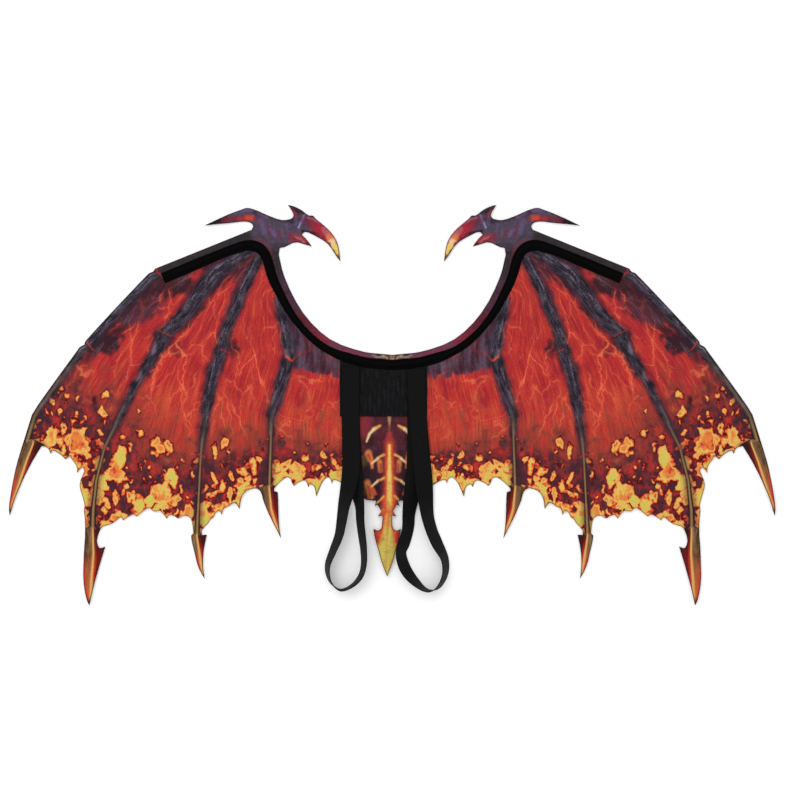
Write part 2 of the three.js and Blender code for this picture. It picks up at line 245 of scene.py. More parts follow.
class Graph:
    # Adds nodes to a tree and joins them. A value is a signal, a socket, a number, a linear colour or
    # the name of a colour in the look.
    def __init__(self, tree, look=None):
        self.tree, self.look = tree, look
        tree.nodes.clear()

    def known(self, value):
        return tone(self.look[value]) if isinstance(value, str) else value

    def plug(self, socket, value):
        value = value.socket if isinstance(value, Signal) else self.known(value)
        if isinstance(value, bpy.types.NodeSocket):
            self.tree.links.new(value, socket)
        else:
            socket.default_value = value

    def node(self, kind, inputs=None, **settings):
        made = self.tree.nodes.new(kind)
        for name, value in settings.items():
            setattr(made, name, value)
        for key, value in (inputs or {}).items():
            self.plug(made.inputs[key], value)
        return made

    def signal(self, kind, output, inputs=None, **settings):
        return Signal(self, self.node(kind, inputs, **settings).outputs[output])

    def math(self, operation, first, second=0.0, clamp=False):
        inputs = {0: first, 1: second}
        return self.signal("ShaderNodeMath", 0, inputs, operation=operation, use_clamp=clamp)

    def step(self, value, low, high, start=0.0, end=1.0):
        inputs = {"Value": value, "From Min": low, "From Max": high, "To Min": start, "To Max": end}
        return self.signal("ShaderNodeMapRange", 0, inputs, interpolation_type="SMOOTHSTEP")

    def mix(self, share, first, second, blend="MIX"):
        inputs = {0: share, 6: first, 7: second}
        return self.signal("ShaderNodeMix", 2, inputs, data_type="RGBA", blend_type=blend)

    def lay(self, colour, over, value, low, high, most=1.0):
        # A colour laid over another where a value goes from low to high
        return self.mix(self.step(value, low, high, 0.0, most), colour, over)

    def ramp(self, value, stops):
        made = self.node("ShaderNodeValToRGB", {"Fac": value})
        elements = made.color_ramp.elements
        while len(elements) < len(stops):
            elements.new(0.5)
        for element, (position, colour) in zip(elements, stops.items()):
            element.position = position
            element.color = self.known(colour)
        return Signal(self, made.outputs[0])

    def field(self, name, output="Vector"):
        return self.signal("ShaderNodeAttribute", output, attribute_name=name)

    def split(self, vector, kind="ShaderNodeSeparateXYZ"):
        return [Signal(self, socket) for socket in self.node(kind, {0: vector}).outputs]

    def stretch(self, vector, x, y, z=1.0, shift=(0.0, 0.0, 0.0)):
        inputs = {0: vector, 1: (x, y, z), 2: shift}
        return self.signal("ShaderNodeVectorMath", 0, inputs, operation="MULTIPLY_ADD")

    def noise(self, vector, scale, detail=2.0, rough=0.5, output="Fac", flat=True):
        inputs = {"Vector": vector, "Scale": scale, "Detail": detail, "Roughness": rough}
        return self.signal("ShaderNodeTexNoise", output, inputs, noise_dimensions="2D" if flat else "3D")

    def uneven(self, vector, scale, detail=2.0, rough=0.5):
        # Noise between about -0.5 and 0.5
        return self.noise(vector, scale, detail, rough) - 0.5

    def warped(self, vector, scale, amount, by=None):
        # The vector moved about by noise
        shifts = self.noise(vector if by is None else by, scale, 3.0, 0.6, "Color")
        inputs = {0: shifts, 1: (0.5, 0.5, 0.5)}
        centred = self.signal("ShaderNodeVectorMath", 0, inputs, operation="SUBTRACT")
        return self.stretch(centred, amount, amount, 0.0, vector)

    def cells(self, vector, scale, feature="F1"):
        inputs = {"Vector": vector, "Scale": scale}
        return self.node("ShaderNodeTexVoronoi", inputs, voronoi_dimensions="2D", feature=feature).outputs

    def borders(self, vector, scale):
        # Distance to the borders of scattered cells
        return Signal(self, self.cells(vector, scale, "DISTANCE_TO_EDGE")["Distance"])

    def spots(self, vector, scale):
        # Distance to the nearest of scattered cells' middles, and that cell's three chance values
        made = self.cells(vector, scale)
        return Signal(self, made["Distance"]), self.split(made["Color"], "ShaderNodeSeparateColor")


def newMaterial(name, kind=Graph, look=None):
    material = bpy.data.materials.new(name)
    material.use_nodes = True
    return material, kind(material.node_tree, look)


def finishMaterial(graph, colour, height, bumpDepth, inputs):
    bump = graph.node("ShaderNodeBump", {"Height": height, "Distance": bumpDepth, "Strength": 1.0})
    inputs = {"Base Color": colour, "Normal": bump.outputs[0], **inputs}
    surface = graph.node("ShaderNodeBsdfPrincipled", inputs)
    graph.node("ShaderNodeOutputMaterial", {"Surface": surface.outputs[0]})


# Printed felt

panelLook = {
    "membraneDeep": (160, 40, 50),
    "membraneRed": (188, 52, 50),
    "membraneWarm": (203, 82, 56),
    "membraneBrown": (128, 78, 56),
    "membraneDark": (132, 40, 46),
    "membraneLight": (222, 104, 74),
    "veinLight": (240, 128, 88),
    "veinGlow": (220, 66, 54),
    "shadeDark": (42, 32, 42),
    "smoke": (112, 60, 52),
    "charDark": (56, 38, 50),
    "charPlum": (86, 44, 50),
    "charRed": (146, 40, 46),
    "emberRim": (84, 22, 28),
    "emberLine": (146, 70, 36),
    "emberHot": (216, 78, 48),
    "emberEdge": (232, 188, 96),
    "emberOrange": (230, 132, 66),
    "emberYellow": (210, 198, 88),
    "boneDark": (38, 32, 40),
    "boneMid": (76, 68, 80),
    "boneLight": (124, 116, 132),
    "goldDark": (62, 44, 38),
    "goldMid": (116, 86, 58),
    "goldLight": (152, 122, 82),
    "clawLight": (230, 170, 96),
    "clawWarm": (200, 102, 58),
    "clawRed": (200, 62, 46),
    "facet": (112, 30, 26),
    "facetLight": (196, 52, 40),
    "outline": (40, 26, 30),
    "paintDim": (190, 176, 188),
    "paintLift": (70, 66, 84),
    "thickness": 2 * mm,
    "spacing": 2.2 * mm,
    "fineSpacing": 1.4 * mm,
    "lowerSpacing": 9 * mm,
    "emberCells": ((38.0, 0.76, 0.34), (23.0, 0.95, 0.42), (13.0, 0.85, 0.38), (8.0, 0.4, 0.36)),
    "emberSmallest": 0.13,
    "emberBand": 3.6,
    "emberLumps": 46.0,
    "emberBeads": 20.0,
    "veins": ((40.0, 0.36, 0.82, 0.1), (24.0, 0.42, 0.55, 0.4)),
    "emberHemTint": 0.9,
    "veinBends": ((0.02, 30.0), (0.07, 8.0), (0.25, 1.8)),
    "bayWidth": 95.0,
    "depthTop": 150 * mm,
    "depthBottom": -120 * mm,
    "headAbove": 165 * mm,
    "headWithin": 262 * mm,
    "tailBelow": -10 * mm,
    "tailWithin": 60 * mm,
    "fibreHeight": 0.2 * mm,
    "billow": 1.8 * mm,
    "tipCurl": 3.0 * mm,
    "hemCurl": 1.0 * mm,
}

# The printed bones, shoulder to tip. Columns: out, down, half width in mm, share of gold, and how
# far along a claw. The arm's rows lie on the leading edge, and their third column is its whole width.
arm = [
    (351, 60, 14, 0, 0), (620, 159, 13, 0, 0), (636, 170, 12, 0, 0), (801, 340, 10.5, 0, 0),
    (816, 355, 10.5, 0.05, 0), (939, 523, 8, 0.45, 0), (956, 575, 9, 1, 0), (996, 772, 4, 1, 0),
]
tipClaw = [
    (938, 586, 2, 1, 0), (938, 597, 14, 1, 0.02), (956, 641, 14, 1, 0.28), (971, 687, 14, 1, 0.52),
    (990, 745, 14, 1, 0.86), (996, 772, 14, 1, 1),
]
longFinger = [
    (340, 98, 4, 0, 0), (387, 122, 7, 0, 0), (463, 170, 10, 0, 0), (518, 240, 9.5, 0, 0),
    (555, 290, 8.5, 0, 0), (594, 320, 10, 0, 0), (633, 390, 5.8, 0, 0), (672, 455, 5, 0, 0),
    (712, 530, 4.2, 0.1, 0), (751, 605, 2.8, 0.7, 0), (773, 687, 2.8, 1, 0), (781, 762, 3.6, 1, 0),
    (782, 805, 4.6, 1, 0), (782, 811, 15, 1, 0.02), (780, 870, 15, 1, 0.33), (785, 937, 15, 1, 0.68),
    (787, 997, 15, 1, 1),
]
middleFinger = [
    (340, 117, 6, 0, 0), (380, 190, 7, 0, 0), (408, 255, 6.5, 0, 0), (437, 320, 7, 0, 0),
    (448, 367, 8, 0, 0), (467, 425, 7.5, 0, 0), (482, 495, 6.5, 0, 0), (493, 562, 5, 0.1, 0),
    (500, 625, 2.8, 0.7, 0), (506, 737, 2.5, 1, 0), (510, 820, 4, 1, 0), (510, 826, 14, 1, 0.02),
    (506, 855, 14, 1, 0.3), (499, 895, 14, 1, 0.64), (489, 932, 14, 1, 1),
]
shortFinger = [
    (301, 227, 5, 0, 0), (283, 295, 6, 0, 0), (270, 345, 7.5, 0, 0), (270, 380, 8, 0, 0),
    (283, 425, 7.5, 0, 0), (302, 477, 7, 0, 0), (316, 527, 6, 0.1, 0), (317, 587, 2.8, 0.7, 0),
    (321, 700, 3.2, 1, 0), (321, 706, 13, 1, 0.02), (316, 759, 13, 1, 0.42), (305, 794, 13, 1, 0.7),
    (293, 830, 13, 1, 1),
]
middleLine = [(0, 300, 0, 0, 0), (0, 800, 0, 0, 0)]

# The hem's mean line, to tell its torn edge from the rest of the outline. Columns: out, down.
hemLine = [
    (916, 602), (860, 628), (804, 664), (756, 803), (700, 780), (640, 752), (580, 765), (519, 815),
    (498, 813), (430, 765), (380, 720), (337, 735), (308, 708), (220, 700), (150, 680), (100, 690),
    (30, 739),
]

# How far embers climb from the hem. Columns: out, reach in mm.
emberReach = [
    (50, 48), (150, 50), (270, 60), (410, 84), (530, 100), (630, 112), (750, 116), (870, 92),
    (1000, 70),
]

# Painted strokes, laid one over the other. Columns: start out, start down, end out, end down,
# radius at the start and at the end in mm, strength, colour.
strokeColours = {
    "night": (40, 32, 40),
    "ash": (74, 40, 46),
    "grey": (53, 48, 51),
    "slate": (80, 70, 86),
    "violet": (104, 88, 128),
    "lilac": (162, 152, 200),
    "mauve": (126, 84, 104),
    "mauveDark": (104, 62, 84),
    "wineDark": (120, 44, 60),
    "crimson": (168, 44, 62),
    "plum": (78, 50, 64),
    "brown": (112, 66, 48),
    "maroon": (98, 40, 52),
    "wine": (148, 50, 66),
    "rose": (190, 110, 120),
    "brick": (168, 60, 54),
    "red": (188, 48, 54),
    "fire": (224, 88, 48),
    "ember": (226, 130, 74),
    "emberDark": (204, 98, 58),
    "amber": (238, 164, 88),
    "straw": (236, 204, 104),
    "moss": (216, 200, 98),
    "gold": (190, 150, 100),
    "bone": (240, 206, 156),
    "cream": (178, 162, 134),
}

# Shade with ragged edges, in the membranes and at the shoulder
shadeStrokes = [
    (586, 172, 764, 332, 27, 26, 0.8, "night"),
    (612, 200, 545, 197, 22, 18, 0.8, "night"),
    (672, 272, 623, 252, 22, 18, 0.75, "plum"),
    (772, 347, 733, 352, 16, 14, 0.75, "night"),
    (806, 377, 835, 447, 18, 15, 0.65, "ash"),
    (868, 470, 905, 530, 16, 14, 0.6, "ash"),
    (380, 135, 466, 182, 14, 20, 0.7, "night"),
    (466, 182, 550, 292, 21, 17, 0.7, "night"),
    (586, 337, 555, 367, 14, 11, 0.7, "night"),
    (607, 350, 633, 417, 12, 10, 0.6, "plum"),
    (382, 157, 445, 337, 12, 12, 0.6, "plum"),
    (435, 332, 410, 372, 13, 11, 0.7, "night"),
    (471, 400, 487, 525, 12, 10, 0.6, "ash"),
    (424, 117, 487, 142, 13, 12, 0.7, "night"),
    (500, 150, 620, 200, 9, 12, 0.55, "ash"),
    (330, 125, 300, 225, 9, 7, 0.45, "maroon"),
    (640, 200, 700, 255, 16, 16, 0.5, "night"),
    (283, 417, 304, 500, 13, 11, 0.6, "plum"),
    (293, 237, 267, 337, 9, 13, 1, "slate"),
    (267, 337, 190, 372, 18, 20, 1, "slate"),
    (264, 280, 230, 325, 9, 13, 1, "slate"),
    (250, 392, 100, 405, 14, 17, 1, "slate"),
    (215, 340, 225, 375, 10, 8, 0.7, "maroon"),
    (210, 405, 120, 420, 8, 8, 0.7, "plum"),
]

# The heads, the strips beside the casing and the marks at the joints
strokes = [
    (233, 47, 314, 60, 23, 23, 1, "slate"),
    (314, 60, 403, 47, 23, 18, 1, "slate"),
    (285, 95, 340, 102, 16, 14, 1, "slate"),
    (367, 22, 445, 35, 12, 9, 1, "slate"),
    (267, 12, 228, 37, 11, 14, 1, "slate"),
    (445, 35, 492, 52, 9.6, 5.5, 1, "night"),
    (356, 17, 262, 40, 6.5, 5.1, 0.7, "night"),
    (280, 0, 233, 17, 4.5, 3.8, 0.8, "night"),
    (231, 30, 207, 35, 4.5, 3.2, 0.7, "night"),
    (425, 16, 365, 11, 3.6, 4.4, 0.75, "violet"),
    (350, 20, 325, 32, 4, 3, 0.5, "violet"),
    (440, 37, 380, 34, 4.8, 6.4, 0.8, "wineDark"),
    (400, 35, 368, 33, 3.4, 5.6, 0.75, "brick"),
    (380, 31, 367, 32, 3, 4.6, 0.5, "fire"),
    (360, 34, 350, 40, 3, 3, 0.5, "wineDark"),
    (268, 10, 250, 27, 4.1, 4.6, 0.7, "wineDark"),
    (262, 17, 252, 25, 2.4, 2.4, 0.6, "brick"),
    (342, 42, 333, 70, 4.6, 3.6, 0.6, "violet"),
    (348, 74, 330, 88, 3.2, 3.2, 0.4, "grey"),
    (316, 62, 305, 76, 4, 3.4, 0.75, "violet"),
    (290, 60, 284, 78, 3.4, 2.8, 0.4, "mauve"),
    (326, 50, 320, 80, 2.4, 2.1, 0.55, "wineDark"),
    (301, 66, 298, 92, 2.4, 1.8, 0.5, "wineDark"),
    (276, 50, 272, 68, 2.6, 2.8, 0.4, "violet"),
    (340, 92, 312, 112, 4, 4, 0.5, "wineDark"),
    (314, 105, 278, 100, 5.5, 5.5, 0.5, "grey"),
    (294, 110, 300, 122, 4.4, 4.4, 0.5, "violet"),
    (231, 26, 244, 57, 1.7, 1.9, 0.9, "lilac"),
    (250, 34, 252, 50, 2.8, 2.8, 0.5, "violet"),
    (228, 37, 204, 52, 8.6, 8.6, 0.85, "mauveDark"),
    (212, 42, 190, 60, 8.6, 8.9, 0.85, "wineDark"),
    (194, 54, 170, 78, 8.6, 8, 0.9, "crimson"),
    (176, 62, 158, 86, 5, 4.6, 0.7, "rose"),
    (164, 80, 153, 100, 6.4, 5.8, 0.8, "ember"),
    (156, 92, 145, 115, 5.4, 4.8, 0.9, "bone"),
    (151, 103, 141, 130, 3.8, 2.8, 0.95, "straw"),
    (142, 127, 138, 142, 2.8, 2.4, 0.8, "brown"),
    (233, 65, 194, 75, 2.8, 3, 0.85, "night"),
    (194, 75, 165, 100, 3.2, 2.8, 0.75, "wineDark"),
    (165, 100, 142, 134, 2.6, 1.8, 0.9, "brown"),
    (218, 31, 176, 50, 1.8, 1.8, 0.55, "rose"),
    (264, 78, 222, 98, 6.4, 3.4, 0.8, "wineDark"),
    (258, 74, 232, 88, 2.6, 2, 0.5, "brick"),
    (252, 79, 228, 94, 1.6, 1.6, 0.6, "rose"),
    (222, 100, 210, 108, 3, 2, 0.8, "night"),
    (382, 81, 607, 164, 11, 11, 1, "grey"),
    (400, 100, 590, 170, 2.6, 2.6, 0.6, "night"),
    (301, 127, 285, 197, 13, 11, 1, "grey"),
    (285, 197, 238, 280, 11, 9, 1, "plum"),
    (238, 280, 200, 318, 9, 9, 1, "maroon"),
    (200, 318, 150, 350, 9, 9, 1, "wineDark"),
    (150, 350, 30, 378, 9, 9, 1, "mauveDark"),
    (185, 325, 120, 358, 3, 3, 0.5, "wine"),
    (110, 360, 60, 370, 3, 2.4, 0.5, "wine"),
    (37, 374, 0, 384, 4.6, 5, 0.9, "grey"),
    (30, 372, 12, 384, 1.6, 1.4, 0.8, "cream"),
    (48, 376, 22, 382, 1.4, 1.2, 0.7, "cream"),
    (4, 372, 0, 388, 1.6, 1.4, 0.8, "cream"),
    (620, 157, 597, 185, 1.4, 1.2, 0.9, "red"),
    (801, 340, 780, 362, 1.9, 1.4, 0.9, "brick"),
    (607, 315, 578, 327, 1.4, 1.4, 0.7, "brick"),
    (448, 360, 424, 370, 1.6, 1.4, 0.8, "brick"),
    (278, 377, 262, 390, 1.8, 1.6, 0.9, "fire"),
    (262, 390, 238, 365, 1.6, 1.1, 0.8, "brick"),
    (761, 602, 740, 610, 2.5, 1.9, 0.8, "brick"),
    (508, 622, 489, 630, 2.2, 1.6, 0.8, "brick"),
]

# The tail, with its out measured from the tail's own middle line. Columns of that line: down, out.
tailMiddle = [(500, -7.3), (750, -7.3), (850, -14.4), (930, -17.8)]
tailStrokes = [
    (0, 550, 0, 732, 40, 37, 1, "ash"),
    (30, 540, 30, 732, 30, 30, 0.9, "ash"),
    (60, 600, 60, 700, 20, 20, 0.6, "night"),
    (58, 537, 63, 572, 9.6, 8.2, 0.6, "wine"),
    (24, 537, 29, 602, 5.5, 6.9, 0.5, "maroon"),
    (37, 607, 58, 617, 5.5, 5.5, 0.6, "plum"),
    (58, 662, 63, 687, 8.2, 6.9, 0.85, "night"),
    (31, 697, 29, 730, 7.6, 6.9, 0.95, "night"),
    (52, 747, 29, 752, 4.1, 4.1, 0.9, "night"),
    (24, 755, 22, 767, 3.4, 2.8, 0.9, "night"),
    (55, 620, 50, 634, 5.6, 5.2, 0.9, "ember"),
    (48, 636, 45, 656, 3.6, 2.2, 0.9, "ember"),
    (56, 624, 50, 636, 2.6, 2.2, 0.8, "brick"),
    (25, 642, 23, 664, 4.2, 3.8, 0.9, "ember"),
    (24, 648, 23, 668, 2, 1.8, 0.8, "brick"),
    (58, 694, 48, 728, 5.4, 4.6, 0.9, "ember"),
    (47, 704, 36, 722, 3.4, 2.2, 0.8, "fire"),
    (55, 704, 50, 728, 2.6, 2.2, 0.8, "brick"),
    (24, 551, 40, 560, 2.1, 2.8, 0.95, "amber"),
    (40, 560, 52, 572, 2.8, 2.2, 0.95, "bone"),
    (52, 572, 60, 592, 2.2, 1.2, 0.95, "bone"),
    (0, 527, 0, 572, 2.2, 1.2, 0.8, "gold"),
    (0, 560, 0, 740, 9, 17, 0.75, "maroon"),
    (0, 572, 0, 600, 4.4, 7.5, 0.8, "brick"),
    (0, 595, 0, 737, 8.6, 10.9, 0.9, "brick"),
    (0, 600, 0, 737, 5.2, 8.2, 0.9, "fire"),
    (0, 737, 0, 782, 11.6, 10.2, 0.95, "fire"),
    (0, 605, 0, 775, 3.4, 6.4, 0.7, "ember"),
    (0, 600, 0, 657, 1.6, 2.8, 0.95, "straw"),
    (0, 657, 0, 772, 2.9, 4.6, 0.95, "straw"),
    (14, 624, 31, 632, 2, 2.1, 0.95, "amber"),
    (31, 634, 47, 647, 1.9, 1.2, 0.95, "bone"),
    (14, 682, 31, 689, 2, 1.9, 0.95, "amber"),
    (31, 691, 47, 703, 1.8, 1.2, 0.95, "bone"),
    (14, 728, 36, 747, 1.9, 1.2, 0.95, "amber"),
    (14, 760, 30, 777, 1.8, 1.1, 0.9, "amber"),
    (0, 787, 0, 857, 23, 19, 1, "fire"),
    (0, 777, 0, 817, 5.4, 6.6, 0.9, "straw"),
    (0, 817, 0, 862, 7.4, 15, 0.95, "moss"),
    (0, 862, 0, 925, 14.8, 7.5, 0.95, "moss"),
    (0, 770, 0, 800, 3, 4.2, 0.7, "emberDark"),
    (0, 800, 0, 912, 1.6, 1.6, 0.5, "ember"),
    (34, 810, 24, 842, 2.8, 2.2, 0.7, "red"),
]


def paint(points, table, wobble, total=None, core=0.3, fade=1.25):
    # Colour and strength of a table's strokes at each point, over what is there already. A stroke is
    # full up to the core's share of its radius, and gone at the fade's.
    uneven = points + np.column_stack([ripple(points, 9 * mm, 3), ripple(points, 9 * mm, 4)]) * wobble
    total = np.zeros((len(points), 4)) if total is None else total
    for startOut, startDown, endOut, endDown, startSize, endSize, strength, colour in table:
        rows = [(startOut, startDown, startSize), (endOut, endDown, endSize)]
        _, distance, _, sizes = besideLine(uneven, rows)
        size = sizes[:, 0] * mm
        cover = strength * (1 - smoothStep(distance, core * size, fade * size))
        under = total[:, 3] * (1 - cover)
        share = cover / np.maximum(cover + under, 1e-9)
        total[:, :3] += (np.array(tone(strokeColours[colour])[:3]) - total[:, :3]) * share[:, None]
        total[:, 3] = cover + under
    return total


def mirrored(points):
    return np.column_stack([np.abs(points[:, 0]), points[:, 1]])


panelRim = upperRim("wing_panel")
panelEdge, edgeOwners = densely(panelRim, 0.5 * mm)


def edgeBeside(line, reach):
    # The stretches of the right wing's cut edge that run beside a line
    middles = (panelRim + np.roll(panelRim, -1, 0)) / 2
    rows = [(*row[:2], 0) for row in line]
    beside = (besideLine(mirrored(middles), rows)[1] < reach) & (middles[:, 0] > 0)
    return panelEdge[beside[edgeOwners]]


leadingEdge = edgeBeside(arm, 9 * mm)
tornEdge = edgeBeside(hemLine, 20 * mm)


def flowFields(points):
    # A coordinate across the membranes that follows the fingers, one along them, and the clearance
    lines = [besideLine(points, rows) for rows in [arm, longFinger, middleFinger, shortFinger, middleLine]]
    sides = np.array([line[0] for line in lines])
    distances = np.array([line[1] for line in lines])
    lengths = np.array([line[2] for line in lines])
    bay = np.clip((sides < 0).sum(0) - 1, 0, len(lines) - 2)
    spots = np.arange(len(points))
    outer, inner = distances[bay, spots], distances[bay + 1, spots]
    share = outer / np.maximum(outer + inner, 1e-6)
    along = lengths[bay, spots] * (1 - share) + lengths[bay + 1, spots] * share
    return bay, share, along, np.minimum(outer, inner)


def boneFields(points):
    # The nearest printed bone: side, gap beyond its edge, length along it, and its other columns
    _, _, along, others = besideLine(points, arm)
    inward = nearest(points, leadingEdge) / mm
    width = others[:, :1]
    inward = inward[:, None]
    best = np.column_stack([width / 2 - inward, inward - width, along / mm, width / 2, others[:, 1:]])
    for order, rows in enumerate([tipClaw, longFinger, middleFinger, shortFinger]):
        side, distance, along, others = besideLine(points, rows)
        gap = distance / mm - others[:, 0]
        gap += 1000 * (along <= 0)
        found = np.column_stack([side * distance / mm, gap, along / mm + 400 * (order + 1), others])
        best = np.where((found[:, 1] < best[:, 1])[:, None], found, best)
    return best


def panelLift(points):
    # Height of the felt's underside: it bellies a little between the fingers and its tips curl up
    look = panelLook
    half = mirrored(points)
    bay, share, _, clearance = flowFields(half)
    bones = boneFields(half)
    belly = np.sin(math.pi * share) ** 2 * smoothStep(clearance, 0, 40 * mm) * (bay < 3)
    uneven = 0.75 + 0.25 * ripple(points, 120 * mm, 1)
    tips = bones[:, 5] ** 2
    horn = smoothStep(half[:, 0], 205 * mm, 260 * mm) * smoothStep(half[:, 1], 224 * mm, 238 * mm)
    beak = smoothStep(half[:, 0], 115 * mm, 72 * mm) * smoothStep(half[:, 1], 150 * mm, 190 * mm)
    hem = smoothStep(half[:, 1], -60 * mm, -130 * mm) * (0.5 + 0.5 * ripple(points, 22 * mm, 2)).clip(0, 1)
    hem *= smoothStep(half[:, 0], 80 * mm, 130 * mm)
    curl = look["tipCurl"] * (tips + (horn + beak) * 0.6)
    return look["billow"] * belly * uneven + curl + look["hemCurl"] * hem


class PrintedFelt(Graph):
    # The felt's shader, built up from the membrane to the fibres on top
    def __init__(self, tree, look):
        super().__init__(tree, look)
        self.place = self.field("place")
        self.flow = self.field("flow")
        self.depth = self.split(self.flow)[2]
        self.side, self.gap, self.along = self.split(self.field("bone"))
        self.width, self.gold, self.claw = self.split(self.field("boneKind"))
        self.heat, self.hemGap, self.edgeGap = self.split(self.field("gaps"))
        self.speck = self.uneven(self.place, 0.45, 3.0, 0.7)
        self.cloud = self.uneven(self.warped(self.place, 0.03, 16.0), 0.045, 3.0, 0.6)
        fibre = self.node("ShaderNodeCombineXYZ", {0: self.side * 0.26, 1: self.along * 0.05})
        self.streak = self.uneven(fibre.outputs[0], 1.0, 4.0, 0.62)

    def membrane(self):
        bands = self.noise(self.stretch(self.flow, 0.12, 0.014), 1.0, 3.0, 0.55)
        stops = {0.36: "membraneDeep", 0.5: "membraneRed", 0.6: "membraneRed", 0.74: "membraneWarm"}
        colour = self.ramp(bands, stops)
        lower = self.depth + 1.2 * self.cloud
        colour = self.lay(colour, "membraneDeep", lower, 0.5, -0.2, 0.5)
        colour = self.lay(colour, "membraneWarm", lower, 0.35, 1.0, 0.6)
        smudge = self.noise(self.stretch(self.flow, 0.15, 0.02, shift=(40, 0, 0)), 1.0, 3.0, 0.6)
        brown = self.step(smudge, 0.54, 0.72) * self.step(lower, 0.3, 0.9, 0.0, 0.65)
        colour = self.mix(brown, colour, "membraneBrown")
        hairs = self.uneven(self.stretch(self.flow, 0.7, 0.03, shift=(20, 0, 0)), 1.0, 3.0, 0.6)
        colour = self.lay(colour, "membraneDark", hairs, 0.03, 0.2, 0.45)
        return self.lay(colour, "membraneLight", hairs, -0.03, -0.2, 0.35)

    def shade(self, colour):
        strength = self.field("shade", "Alpha")
        soft = self.uneven(self.place, 0.05, 4.0, 0.55)
        brushed = self.uneven(self.stretch(self.flow, 0.16, 0.03, shift=(9, 0, 0)), 1.0, 4.0, 0.6)
        ragged = 1.35 * strength + 1.3 * soft + 0.7 * brushed + 0.4 * self.speck
        light = 1.6 * brushed + self.speck + 0.5
        dim = self.mix(self.step(light, 0.62, 0.15), self.field("shade", "Color"), "shadeDark")
        dim = self.lay(dim, "boneLight", light, 0.62, 1.0, 0.5)
        cover = self.step(ragged, 0.0, 1.15, 0.0, 0.95) * self.step(strength, 0.0, 0.5)
        return self.mix(cover, colour, dim)

    def veins(self, colour):
        look = self.look
        for cell, squeeze, strength, rise in look["veins"]:
            shifted = self.stretch(self.place, 1.0, 1.0, shift=(cell, 0, 0))
            bent = self.flow
            for pace, reach in look["veinBends"]:
                bent = self.warped(bent, pace, reach, shifted)
            bent = self.stretch(bent, 1.0, squeeze, shift=(cell * 7, cell, 0))
            border = self.borders(bent, 1 / cell) * cell
            patches = self.noise(self.stretch(self.place, 1.0, 0.5, shift=(cell, 0, 0)), 0.022)
            present = self.step(patches, 0.36, 0.6)
            present *= self.step(self.cloud, -0.25, 0.1, 0.5 * strength, strength)
            present *= self.step(self.field("shade", "Alpha"), 1.0, 0.7, 0.1, 1.0)
            present *= self.step(self.depth, 0.0, rise, 0.6, 1.0)
            colour = self.mix(self.step(border, 6.0, 0.0, 0.0, 0.5) * present, colour, "veinGlow")
            colour = self.mix(self.step(border, 1.1, 0.1, 0.0, 0.85) * present, colour, "veinLight")
        return colour

    def smoke(self, colour):
        rising = self.heat + 1.2 * self.cloud
        colour = self.lay(colour, "smoke", rising, -0.25, 0.2, 0.55)
        curled = self.stretch(self.warped(self.place, 0.05, 14.0), 1.0, 0.6, shift=(0, 30, 0))
        stops = {0.4: "charDark", 0.5: "charPlum", 0.58: "charRed", 0.68: "membraneRed"}
        licks = self.ramp(self.noise(curled, 0.075, 5.0, 0.62), stops)
        return self.lay(colour, licks, rising, 0.0, 0.5, 0.9)

    def embers(self, colour):
        # Glowing islands: lumps along the hem, and scattered cells that thin out above it
        look = self.look
        jag = 9.0 * self.uneven(self.place, 0.11) + self.speck
        lumps = look["emberLumps"] * self.uneven(self.stretch(self.place, 1.0, 0.7), 0.055)
        beads = look["emberBeads"] * self.uneven(self.place, 0.15)
        within = lumps + beads + jag + (look["emberBand"] - self.hemGap)
        bent = self.warped(self.place, 0.022, 34.0)
        tint = look["emberHemTint"]
        for cell, spread, most in look["emberCells"]:
            scattered = self.stretch(bent, 1.0, 0.72, shift=(cell * 9, cell, 0))
            distance, chances = self.spots(scattered, 1 / cell)
            growth = self.heat * spread - chances[0]
            size = self.math("MINIMUM", growth + look["emberSmallest"], most)
            none = self.step(growth, 0.0, 0.01, -30.0, 0.0)
            island = (size - distance) * cell + jag + none
            taken = self.step(island - within, -0.3, 0.3)
            tint = tint + taken * (chances[1] - tint)
            within = self.math("MAXIMUM", within, island)
        mottle = self.uneven(self.stretch(self.place, 1.0, 0.7, shift=(70, 0, 0)), 0.085, 3.0, 0.6)
        warm = 1.3 * mottle + 0.5 * tint + 0.35 * self.speck + 0.32
        stops = {0.14: "charRed", 0.22: "emberHot", 0.36: "emberOrange", 0.52: "emberOrange"}
        inner = self.ramp(warm, {**stops, 0.66: "emberEdge", 0.82: "emberYellow"})
        stops = {0.1: "emberRim", 0.21: "emberRim", 0.3: "emberHot", 0.4: "emberOrange"}
        flame = self.ramp(0.1 * within + 0.3, {**stops, 0.5: "emberEdge"})
        flame = self.lay(flame, inner, within, 2.2, 4.4)
        return self.lay(colour, flame, within, -3.2, -1.3)

    def bones(self, colour):
        across = self.side / self.width
        light = 1.6 * self.streak + self.speck + 0.7 * self.cloud + 0.44
        slate = self.ramp(light, {0.2: "boneDark", 0.62: "boneMid", 1.0: "boneLight"})
        ridge = self.step(abs(across - 0.45), 0.25, 0.03)
        ridge *= self.step(self.streak + self.speck + self.cloud, -0.1, 0.3, 0.0, 0.75)
        slate = self.mix(ridge, slate, "boneLight")
        stops = {0.1: "goldLight", 0.4: "goldMid", 0.62: "goldDark", 0.85: "outline"}
        bone = self.mix(self.gold, slate, self.ramp(abs(across) + 0.5 * self.streak, stops))
        rough = 9.0 * self.cloud + 4.0 * self.speck + 7.0 * self.streak
        edge = self.gap + rough * (1.0 - self.gold)
        colour = self.lay(colour, "charDark", edge, 9.0, -1.0, 0.65)
        softness = 2.7 - 1.9 * self.gold
        return self.lay(colour, bone, edge / softness, 1.0, -1.0)

